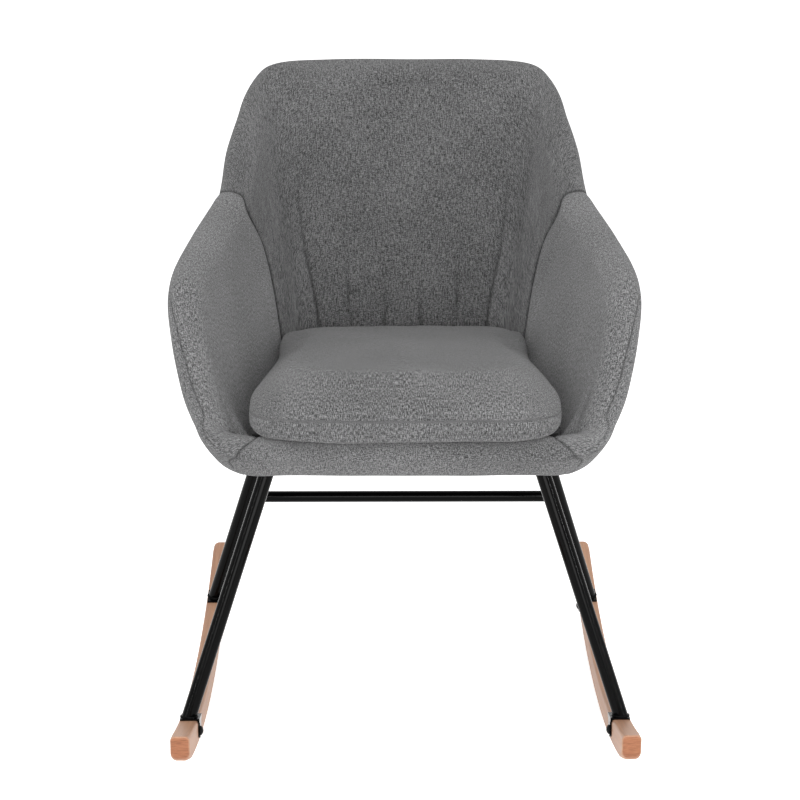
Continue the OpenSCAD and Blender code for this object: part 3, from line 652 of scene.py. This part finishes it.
# the deck lining's near-black tone is painted shade for the gap round the cushion
M_SHADE_DARK_LINING = lining("deck_lining", 0.012, 0.0016)
M_NONWOVEN = lining("nonwoven", 0.016, 0.0022)
M_ZINC = zinc("zinc_steel")
BY_SLOT = {"black_steel": M_STEEL, "black_bolts": M_BOLTS, "beech": M_BEECH, "plywood": M_PLY,
           "foam": M_SHADE_DARK_LINING, "deck_lining": M_SHADE_DARK_LINING, "nonwoven": M_NONWOVEN, "zinc_steel": M_ZINC,
           "fabric_back": M_BACK, "fabric_arms": M_ARMS, "fabric_front": M_FRONT,
           "fabric_cushion": M_CUSHION}

for part in frame["record"]["subparts"]:
    ob = nodes.get(part.get("node") or part.get("name"))
    material = BY_SLOT.get(part.get("material_slot", part.get("slot")))
    if ob is not None and material is not None:
        ob.data.materials.clear()
        ob.data.materials.append(material)


# ---- the tub's cover ----
back = padding("back_cover", "back", lambda zone, value: -back_edge(zone, value), back_edge,
               171, 66, 25, [M_BACK])
arm = "arm", back_edge, seam_front, 121, 44, 37, [M_ARMS]
arm_right = padding("arm_cover_right", *arm)
arm_left = padding("arm_cover_left", *arm, mirror=True)
front = padding("front_cover", "front", seam_front,
                lambda zone, value: 2 * LAST - seam_front(zone, value), 111, 8, 29, [M_FRONT])
for piece, node, slot_name, fill in (
        (back, "back_padding", "fabric_back", 0.8),
        (arm_right, "arm_padding_right", "fabric_arms", 0.85),
        (arm_left, "arm_padding_left", "fabric_arms", 0.85),
        (front, "front_padding", "fabric_front", 0.85)):
    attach(piece, "chair")
    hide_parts(node)


# ---- the loose seat cushion, in mm ----
BOARD_TOP = SEAT_Z + 12
DECK_Z = BOARD_TOP + 3
CUSH_FRONT, CUSH_REAR, CUSH_T = 267.0, 154.0, 70.0
CUSH_W0, CUSH_W1 = 197.0, 154.5  # half its width at the front and at the rear
SLOPE = (FRONT_Z + 3.3 - DECK_Z) / (FRONT_Y + 10.1 + CUSH_REAR)
LOW_R, DOME_H, DOME_W = 11.0, 46.0, 54.0  # rounding of the lower edge; height, width of the upper
FRONT_CORNER, REAR_CORNER = 92.0, 42.0  # corner radii in plan


def deck_top(y):
    """Height of the deck under the cushion at distance y from the chair's centre."""
    return DECK_Z + (CUSH_REAR - y) * SLOPE


def cushion_half(y):
    """Half the cushion's width at distance y from the chair's centre."""
    f = (np.asarray(y, float) + CUSH_FRONT) / (CUSH_REAR + CUSH_FRONT)
    return CUSH_W0 + (CUSH_W1 - CUSH_W0) * f + 7 * np.sin(math.pi * np.clip(f, 0, 1))


def cushion_plan(inset, front_corner, rear_corner):
    """Plan outline of the cushion, drawn in by inset, with points about 8 mm apart."""
    pts = []
    front_r, rear_r = front_corner - inset * 0.6, rear_corner - inset * 0.6
    y0, y1 = inset - CUSH_FRONT, CUSH_REAR - inset
    for sx, r, yc, start in ((1, rear_r, y1 - rear_r, 0), (-1, rear_r, y1 - rear_r, 90),
                             (-1, front_r, y0 + front_r, 180), (1, front_r, y0 + front_r, 270)):
        for i in range(13):
            u = math.radians(start + i * 7.5)
            y = yc + r * math.sin(u)
            pts.append((sx * (cushion_half(y) - inset - r) + r * math.cos(u), y))
        if start in (90, 270):  # the sides bulge a little between the corners
            ends = (y1 - rear_r, y0 + front_r) if start == 90 else (y0 + front_r, y1 - rear_r)
            for f in np.linspace(0, 1, 12)[1:-1]:
                y = ends[0] + (ends[1] - ends[0]) * f
                pts.append((sx * (cushion_half(y) - inset), y))
    return np.array(pts, float)


def cushion_start():
    """The cushion's own shape, as a closed case to be blown up."""
    turns = np.radians([-90, -65, -40, -20, 0])
    layers = [(LOW_R * (1 - math.cos(a)), LOW_R * (1 + math.sin(a))) for a in turns]
    turns = np.radians([0, 15, 30, 45, 60, 75, 90])
    layers += [(DOME_W * (1 - math.cos(a)), CUSH_T - DOME_H * (1 - math.sin(a))) for a in turns]
    rings = []
    for inset, z in layers:
        tight = smooth(LOW_R, 40, z)
        corner = FRONT_CORNER - 20 * smooth(45, 5, z)
        edge = cushion_plan(0, corner, REAR_CORNER - 16 * tight)
        drawn = cushion_plan(inset, corner, REAR_CORNER)
        # the rear edge is less rounded
        boxy = 0.74 * smooth(-40, 120, edge[:, 1:]) * (z > LOW_R)
        ring = drawn + (edge - drawn) * boxy
        # and the case spreads with the tub's walls
        lean = 12 * smooth(20, 120, ring[:, 1]) + 3 * smooth(-150, -210, ring[:, 1])
        lean *= smooth(LOW_R, 55, z)
        ring[:, 0] += lean * smooth(60, 130, np.abs(ring[:, 0])) * np.sign(ring[:, 0])
        rings.append(np.column_stack([ring, deck_top(ring[:, 1]) + z]))
    n = len(rings[0])
    faces = [list(range(n))[::-1], [(len(rings) - 1) * n + i for i in range(n)]]
    for a in range(len(rings) - 1):
        faces += [[a * n + i, a * n + (i + 1) % n, (a + 1) * n + (i + 1) % n, (a + 1) * n + i]
                  for i in range(n)]
    return new_object("seat_cushion_cover", np.concatenate(rings) / 1000, faces, [M_CUSHION])


def apply_modifiers(ob):
    """Keep the mesh as its modifiers leave it."""
    dg = bpy.context.evaluated_depsgraph_get()
    me = bpy.data.meshes.new_from_object(ob.evaluated_get(dg))
    ob.modifiers.clear()
    ob.data = me


def values_of(items, key, width=1, kind=float):
    """One value of every vertex, loop or face, as rows of width numbers."""
    out = np.empty(len(items) * width, kind)
    items.foreach_get(key, out)
    return out.reshape(-1, width) if width > 1 else out


def coords(ob):
    return values_of(ob.data.vertices, "co", 3)


def normals(ob):
    return values_of(ob.data.vertices, "normal", 3)


def put(ob, co):
    ob.data.vertices.foreach_set("co", np.asarray(co, np.float32).ravel())
    ob.data.update()


CLOTH_FRAMES = 20
cushion = cushion_start()
mod = cushion.modifiers.new("remesh", "REMESH")
mod.mode = "VOXEL"
mod.voxel_size = 0.005
apply_modifiers(cushion)
start = coords(cushion)
inwards = -normals(cushion)
# drawn in, then blown up like a filled case
put(cushion, start + inwards * 0.007)
cloth = cushion.modifiers.new("cloth", "CLOTH")
cs = cloth.settings
cs.quality = 6
cs.mass = 0.25
cs.use_pressure = True
cs.uniform_pressure_force = 4.0
cs.tension_stiffness = cs.compression_stiffness = 18
cs.bending_stiffness = 0.6
cs.effector_weights.gravity = 0.0
cloth.collision_settings.use_collision = False
scene.frame_start, scene.frame_end = 1, CLOTH_FRAMES
for f in range(1, CLOTH_FRAMES + 1):
    scene.frame_set(f)
apply_modifiers(cushion)
scene.frame_set(1)
blown = coords(cushion)

# the simulation moves no point further than this; the crown, droop and seams come after it
CAP_M = 0.006
step = blown - start
length = np.linalg.norm(step, axis=1, keepdims=True)
co = start + step * np.minimum(1, CAP_M / np.maximum(length, 1e-9))
# brought back to the full size of its own shape, as the swelling has drawn its sides in
for axis in (0, 1):
    low, high = co[:, axis].min(), co[:, axis].max()
    to_low, to_high = start[:, axis].min(), start[:, axis].max()
    co[:, axis] = to_low + (co[:, axis] - low) * (to_high - to_low) / (high - low)
y_mm = co[:, 1] * 1000
rel = co[:, 2] * 1000 - deck_top(y_mm)
# crowned, with soft hollows where it is sat on
mid_x, mid_y = co[:, 0] * 1000 / 175, (y_mm + 55) / 205
up = smooth(0.25, 0.9, rel / CUSH_T)
crown = np.clip(1 - mid_x**2, 0, 1) * np.clip(1 - mid_y**2, 0, 1)
soft = value_noise(co, 0.11, 5) * 1.6 + value_noise(co, 0.042, 6) * 0.6
rel += up * (5.0 * crown - 1.5 + soft)
# the front edge hangs a little over the padded rail
DROOP, DROOP_MAX = 9.0, 12.0
over = smooth(-196 - 30 * smooth(150, 60, np.abs(co[:, 0]) * 1000), -250, y_mm)
rel -= DROOP * over * smooth(40, 6, rel) * (1 + 0.3 * value_noise(co * (1, 0, 0), 0.06, 8))
rel = np.maximum(rel, 0.6 - DROOP_MAX * over)
co[:, 2] = (deck_top(y_mm) + rel) / 1000
co[:, 1] += (1 - up) * soft * 0.4 * (y_mm < -200) / 1000
put(cushion, co)
sub = cushion.modifiers.new("smooth", "SUBSURF")
sub.levels = sub.render_levels = 1
apply_modifiers(cushion)

# the seam round the top edge of the cushion: cut in after the case is blown up
SEAM_H = 27.0  # its height over the deck
co = coords(cushion)
n = normals(cushion)
rel = co[:, 2] * 1000 - deck_top(co[:, 1] * 1000)
wave = value_noise(co * np.array([1, 1, 0]), 0.05, 9) * 1.1
front_share = smooth(-150, -230, co[:, 1] * 1000)
seam_at = SEAM_H - 5 * front_share
x = rel - seam_at - wave
side_on = smooth(0.95, 0.5, np.abs(n[:, 2]))
co -= n * ((0.12 * groove(x, 1.5) + 0.15 * bump(x, 8)) * side_on)[:, None] / 1000
under = rel - 4.5 + wave * 0.4
co -= n * (0.3 * groove(under, 2.0) * side_on)[:, None] / 1000
pucker = np.sin(co[:, 0] * 2 * math.pi / 0.021 + 2 * value_noise(co, 0.04, 11))
pucker = pucker * bump(x - 4, 7) * side_on
co += n * (pucker * 0.2 / 1000)[:, None]
put(cushion, co)
# painted shade along the top seam and the line near the bottom
seam_shade_mask = np.maximum(bump(x, 0.7) * 0.35, bump(under, 1.2) * 0.3) * side_on
set_seam_shade(cushion.data, seam_shade_mask)
cushion.data.materials.clear()
cushion.data.materials.append(M_CUSHION)
cushion.data.polygons.foreach_set("use_smooth", [True] * len(cushion.data.polygons))
# cloth coordinates: flat on the top and bottom, round the boxing on the sides
layer = cushion.data.uv_layers.new(name="UVMap")
vi = values_of(cushion.data.loops, "vertex_index", kind=int)
polys = cushion.data.polygons
pn = np.repeat(values_of(polys, "normal", 3), values_of(polys, "loop_total", kind=int), axis=0)
p = co[vi]
rel_l = rel[vi] / 1000
top = rel[vi] > seam_at[vi] + wave[vi]
# the top sheet's cloth runs over the edge and down to the seam
uv = np.stack([p[:, 0], p[:, 1]], 1)
down = np.minimum(0, rel_l - 0.060)
uv[:, 1] += np.where(p[:, 1] < -0.2, down, 0)
uv[:, 0] += np.where(np.abs(p[:, 0]) > 0.15, -down * np.sign(p[:, 0]), 0)
side = (~top) & (np.abs(pn[:, 2]) < 0.8)
front_face = np.abs(pn[:, 1]) > np.abs(pn[:, 0])
uv = np.where(side[:, None], np.stack([np.where(front_face, p[:, 0], p[:, 1]) + 0.4, rel_l], 1), uv)
layer.data.foreach_set("uv", uv.astype(np.float32).ravel())
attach(cushion, "cushion")
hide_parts("seat_cushion")


# ---- the deck and the dust cover ----
def ring_outline(across, height, count):
    """Plan outline of the tub at a height over its base, across mm from the wall's middle."""
    k = np.linspace(-LAST, LAST, count, endpoint=False)
    return wall_point(k, np.full(count, float(across)), np.full(count, float(height)))[:, :2]


def slab(name, edge, shares, low, high, mats):
    """A closed slab over a plan outline, in mm. low and high give heights at points and shares."""
    centre = np.array([0.0, -20.0])
    verts, n = [], len(edge)
    for height, order in ((high, shares[::-1]), (low, shares)):
        for s in order:
            ring = centre + (edge - centre) * s
            verts.append(np.column_stack([ring, height(ring, s)]))
    rings = len(verts)
    poles = [np.append(centre, f(centre[None, :], 0.0)) for f in (high, low)]
    verts = np.concatenate(verts + [np.array(poles)]) / 1000
    faces = ring_faces(rings, n)
    top, bottom = rings * n, rings * n + 1
    faces += [[top, i, (i + 1) % n] for i in range(n)]
    faces += [[bottom, (rings - 1) * n + (i + 1) % n, (rings - 1) * n + i] for i in range(n)]
    return new_object(name, verts, faces, mats)


def sweep(path, radii, up, sides=8, closed=False):
    """Verts and faces of a round bar along path. up is a direction that the path never takes."""
    path = np.asarray(path, float)
    n = len(path)
    along = np.roll(path, -1, 0) - np.roll(path, 1, 0) if closed else np.gradient(path, axis=0)
    side = unit(np.cross(along, up))
    rise = unit(np.cross(side, along))
    verts = []
    for i in range(n):
        for j in range(sides):
            u = 2 * math.pi * j / sides
            verts.append(path[i] + radii[i] * (math.cos(u) * side[i] + math.sin(u) * rise[i]))
    faces = []
    for i in range(n if closed else n - 1):
        a, b = i * sides, (i + 1) % n * sides
        faces += [[a + j, a + (j + 1) % sides, b + (j + 1) % sides, b + j] for j in range(sides)]
    if not closed:
        faces += [list(range(sides))[::-1], [(n - 1) * sides + j for j in range(sides)]]
    return verts, faces


def merged(name, parts, mats):
    """One object made of several (verts, faces) parts."""
    verts, faces = [], []
    for v, f in parts:
        faces += [[i + len(verts) for i in face] for face in f]
        verts += list(v)
    return new_object(name, verts, faces, mats)


# the slabs' rings, as shares of the way from the middle to the edge: closer together near the edge
EDGE_SHARES = [1.0, 0.992, 0.98, 0.965, 0.945, 0.92, 0.89]
EDGE_SHARES += [round(0.89 - 0.04 * i, 3) for i in range(1, 22)]


def plan_noise(ring, scale, seed):
    return value_noise(np.column_stack([ring, 0 * ring[:, :1]]) / 1000, scale, seed)


def deck_high(ring, share):
    """The lining's top: rounded edges, gently uneven, with one seam across near the front."""
    thick = deck_top(ring[:, 1]) - BOARD_TOP
    tuck = np.minimum(5.5, 0.55 * thick) * (1 - smooth(0.90, 1.0, 2 - share - 0.9))
    uneven = plan_noise(ring, 0.07, 21)
    seam = ring[:, 1] + 178 + 3 * uneven
    pucker = np.sin(ring[:, 0] / 4.2 + uneven * 2) * bump(seam, 9)
    droop = 1.0 + 0.5 * uneven + 1.6 * groove(seam, 3.0) + 0.5 * pucker
    sunk = np.minimum(droop, thick * 0.3)
    return deck_top(ring[:, 1]) - 0.3 - sunk - tuck * smooth(0.90, 1.0, share)


def deck_low(ring, share):
    """Its underside, the same for every share, which stands clear of the T-nuts' flanges."""
    return BOARD_TOP + 0.2 + 1.7 * smooth(150, 128, ring[:, 1])


# its near-black lining is painted shade for the gap round the cushion
deck = slab("seat_deck_lining", ring_outline(-R - 0.6, 12, 240), EDGE_SHARES, deck_low, deck_high,
            [M_SHADE_DARK_LINING])
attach(deck, "chair")
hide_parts("seat_deck")

DUST_EDGE = 6.0  # mm outside the wall's middle
STAPLE_PITCH = 38.0
dust_line = ring_outline(DUST_EDGE, 0, 300)
dust_run = np.concatenate([[0], np.cumsum(np.linalg.norm(np.diff(dust_line, axis=0), axis=1))])


def dust_sag(ring, share):
    """How far the dust cover hangs below the board, in mm: not at its edge, nor over the straps."""
    y = ring[:, 1]
    held = np.maximum(*(smooth(34, 22, np.abs(y - top[1])) for _, top in LEGS.values()))
    free = smooth(1.0, 0.9, share) * (1 - held)
    uneven = plan_noise(ring, 0.06, 31)
    run = dust_run if len(ring) == len(dust_run) else 0 * y  # the middle is a single point
    pulled = 0.5 * (1 + np.cos(2 * math.pi * run / STAPLE_PITCH)) * bump(share - 0.955, 0.02)
    pulled = pulled * (1 - held)
    return free * (3.2 + 1.6 * uneven) + 0.9 * pulled


def dust_high(ring, share):
    return SEAT_Z - 0.1 - dust_sag(ring, share)


def dust_low(ring, share):
    return SEAT_Z - 0.8 - dust_sag(ring, share)


dust = slab("dust_cover_cloth", dust_line, EDGE_SHARES, dust_low, dust_high, [M_NONWOVEN])
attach(dust, "chair")
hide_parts("dust_cover")


def staples():
    """A wire staple every STAPLE_PITCH mm round the dust cover, its crown along the edge."""
    made = []
    for k in range(int(dust_run[-1] // STAPLE_PITCH)):
        i = int(np.argmin(np.abs(dust_run - k * STAPLE_PITCH)))
        along = dust_line[(i + 1) % len(dust_line)] - dust_line[i - 1]
        along = np.append(along / np.linalg.norm(along), 0)
        inwards = np.cross(along, (0, 0, 1))
        if inwards[:2] @ dust_line[i] > 0:
            inwards = -inwards
        turn = math.radians(9 * math.sin(7.3 * k))
        along = along * math.cos(turn) + inwards * math.sin(turn)
        across = np.cross(along, (0, 0, 1))
        at = np.append(dust_line[i], SEAT_Z - 1.05) + inwards * (6 + 0.8 * math.sin(3.1 * k))
        path = [at + along * a + np.array([0, 0, z])
                for a, z in ((-5, 1.2), (-5, 0.3), (-4.6, -0.05), (4.6, -0.05), (5, 0.3), (5, 1.2))]
        made.append(sweep(np.array(path) / 1000, [0.0004] * len(path), across, 6))
    return merged("dust_cover_staples", made, [M_ZINC])


staple_row = staples()
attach(staple_row, "chair")


# ---- weld beads on the leg frames, in mm ----
def bead(points, axis, radius=1.7):
    """A rippled bead of weld along a closed line of points."""
    points = np.asarray(points, float) / 1000
    step = np.linalg.norm(points - np.roll(points, 1, 0), axis=1).cumsum()
    ripple = 1 + 0.16 * np.abs(np.sin(math.pi * step / 0.0021))
    ripple = ripple + 0.12 * value_noise(points, 0.004, 41)
    return sweep(points, ripple * radius / 1000, axis, 8, closed=True)


def tube_cut(foot, axis, radius, on, normal, count=96):
    """Where a tube's surface meets a plane through on."""
    e1 = np.cross(axis, (0, 1, 0))
    e1 /= np.linalg.norm(e1)
    e2 = np.cross(axis, e1)
    u = np.linspace(0, 2 * math.pi, count, endpoint=False)[:, None]
    p = foot + radius * (np.cos(u) * e1 + np.sin(u) * e2)
    return p + axis * (((on - p) @ normal) / (axis @ normal))[:, None]


def weld_beads():
    made = []
    for end, ((fx, fy), (tx, ty)) in LEGS.items():
        lean = math.asin(fy / TOP_RADIUS)
        normal = np.array([0, -math.sin(lean), math.cos(lean)])
        on = np.array([fx, fy, RUNNER_R - math.sqrt(TOP_RADIUS**2 - fy**2)]) + normal * PLATE
        foot = np.array([fx, fy, on[2]])
        axis = np.array([tx, ty, STRAP_LOW]) - foot
        axis /= np.linalg.norm(axis)
        strap, level = np.array([0, 0, STRAP_LOW]), np.array([0, 0, 1.0])
        loops = [(tube_cut(foot, axis, LEG_R, on, normal), axis),
                 (tube_cut(foot, axis, LEG_R, strap, level), axis)]
        if end == "rear":
            at = foot + axis * (BAR_Z - foot[2]) / axis[2]
            u = np.linspace(0, 2 * math.pi, 80, endpoint=False)
            p = np.stack([0 * u, at[1] + BAR_R * np.cos(u), BAR_Z + BAR_R * np.sin(u)], 1)
            a = np.cross(p - foot, axis)
            b = np.cross((1, 0, 0), axis)
            half_b, c = a @ b, (a * a).sum(1) - LEG_R**2
            p[:, 0] = (-half_b - np.sqrt(np.maximum(0, half_b**2 - (b @ b) * c))) / (b @ b)
            loops.append((p, np.array([1.0, 0, 0])))
        for points, up in loops:
            for side in (1, -1):
                made.append(bead(points * np.array([side, 1, 1]), up * np.array([side, 1, 1])))
    return merged("weld_beads", made, [M_STEEL])


# ---- the runners: the edges are eased, and most of all round their ends, in mm ----
RUNNER_W, RUNNER_HALF = 12.0, 346.5  # half a runner's width, and half its length
EDGE_R, END_R = 3.0, 9.0


def fall(r, s):
    """How far a rounding of radius r takes the surface down at distance s from the end."""
    return r - math.sqrt(r * r - (r - min(s, r)) ** 2)


def runner(name, side):
    """One bent beech runner, as a closed mesh swept from its front end to its rear end."""
    near = np.concatenate([[0, 0.15, 0.5, 1.1, 1.9], np.arange(3, 30, 1.5),
                           np.linspace(30, RUNNER_HALF, 24)])  # closer together near an end
    rings = []
    for y in np.concatenate([near - RUNNER_HALF, (RUNNER_HALF - near[:-1])[::-1]]):
        s = RUNNER_HALF - abs(y)
        drawn, cut, eased = fall(EDGE_R, s), fall(END_R, s), float(smooth(28, 2, s))
        low = RUNNER_R - math.sqrt(RUNNER_R**2 - y * y) + (cut if y < 0 else drawn)
        high = RUNNER_R - math.sqrt(TOP_RADIUS**2 - y * y) - (cut if y > 0 else drawn)
        w = RUNNER_W - drawn
        r_low = EDGE_R + eased * (5.5 if y < 0 else 2.5)
        r_high = EDGE_R + eased * (3.0 if y < 0 else 5.5)
        ring = []
        for sx, cz, r, start in ((1, high - r_high, r_high, 0), (-1, high - r_high, r_high, 90),
                                 (-1, low + r_low, r_low, 180), (1, low + r_low, r_low, 270)):
            for i in range(9):
                u = math.radians(start + i * 11.25)
                ring.append((sx * (w - r) + r * math.cos(u), cz + r * math.sin(u)))
        full = []
        for i, (x, z) in enumerate(ring):
            full.append((x, z))
            if i % 9 == 8:  # two more points on each flat side keep it flat
                nx, nz = ring[(i + 1) % len(ring)]
                full += [(x + (nx - x) * f, z + (nz - z) * f) for f in (0.06, 0.94)]
        rings.append([(side * (FOOT_X + x), y, z) for x, z in full])
    n = len(rings[0])
    faces = [list(range(n)), [(len(rings) - 1) * n + i for i in range(n)][::-1]]
    faces += ring_faces(len(rings), n)
    if side > 0:
        faces = [f[::-1] for f in faces]
    ob = new_object(name, np.array(rings).reshape(-1, 3) / 1000, faces, [M_BEECH])
    face_outwards(ob)
    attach(ob, "chair")
    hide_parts(name.replace("_wood", ""))


runner("runner_left_wood", -1)
runner("runner_right_wood", 1)

welds = weld_beads()
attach(welds, "chair")


# ---- camera, light and stage ----
PHOTO_PX, SENSOR, FOCAL_PX = 800, 36, 2075.05
# the camera fitted to the photograph
cam = bpy.data.objects.new("camera", bpy.data.cameras.new("camera"))
scene.collection.objects.link(cam)
scene.camera = cam
pitch, yaw, roll = math.radians(16.462), math.radians(0.5518), math.radians(0.0782)
cam.data.sensor_width = SENSOR
cam.data.lens = FOCAL_PX * SENSOR / PHOTO_PX
cam.data.shift_x = -3.82 / PHOTO_PX
cam.data.shift_y = 3.81 / PHOTO_PX
turn = Matrix.Rotation(-yaw, 4, "Z")
eye = turn @ Vector((0, -2.64672, 1.19075)) - Vector((0, 0.0065, 0))
rot = turn @ Matrix.Rotation(math.radians(90) - pitch, 4, "X") @ Matrix.Rotation(roll, 4, "Z")
cam.matrix_world = Matrix.Translation(eye) @ rot
cam.data.clip_start, cam.data.clip_end = 0.1, 50


def area(name, at, aim, size, power):
    data = bpy.data.lights.new(name, "AREA")
    data.shape = "RECTANGLE"
    data.size, data.size_y = size
    data.energy = power
    ob = bpy.data.objects.new(name, data)
    ob.location = at
    ob.rotation_euler = (Vector(aim) - Vector(at)).to_track_quat("-Z", "Y").to_euler()
    scene.collection.objects.link(ob)


scene.view_settings.view_transform = "Standard"
world = bpy.data.worlds.new("studio")
scene.world = world
world.use_nodes = True
wt = world.node_tree
WORLD_LIGHT = 0.62
strength = maths(wt, "MULTIPLY_ADD", seen_directly(wt), 1 - WORLD_LIGHT, WORLD_LIGHT)
bg = wt.nodes["Background"]
bg.inputs["Color"].default_value = (1, 1, 1, 1)
link(wt, strength, bg.inputs["Strength"])

FLOOR_GLOW = 0.72  # only for camera, glossy and transmission rays
floor_mat, ft, fsh = tree_of("floor", Base_Color=(0.86, 0.86, 0.86, 1), Roughness=0.9,
                             Specular_IOR_Level=0.0)
link(ft, maths(ft, "MULTIPLY", seen_directly(ft), FLOOR_GLOW), fsh.inputs["Emission Strength"])
fsh.inputs["Emission Color"].default_value = (1, 1, 1, 1)
bm = bmesh.new()
bmesh.ops.create_circle(bm, cap_ends=True, radius=14, segments=96)
me = bpy.data.meshes.new("floor")
bm.to_mesh(me)
bm.free()
floor = bpy.data.objects.new("floor", me)
floor.location.z = -0.0005
me.materials.append(floor_mat)
scene.collection.objects.link(floor)

area("front_soft", (0.0, -3.0, 1.1), (0, 0, 0.45), (2.2, 1.4), 56)
area("strip_left", (-1.7, -1.3, 0.9), (0, 0, 0.4), (0.03, 1.6), 10)
area("strip_right", (1.7, -1.3, 0.9), (0, 0, 0.4), (0.03, 1.6), 14)
area("top_soft", (0.0, -0.1, 2.5), (0, 0.0, 0.5), (1.8, 1.4), 13)
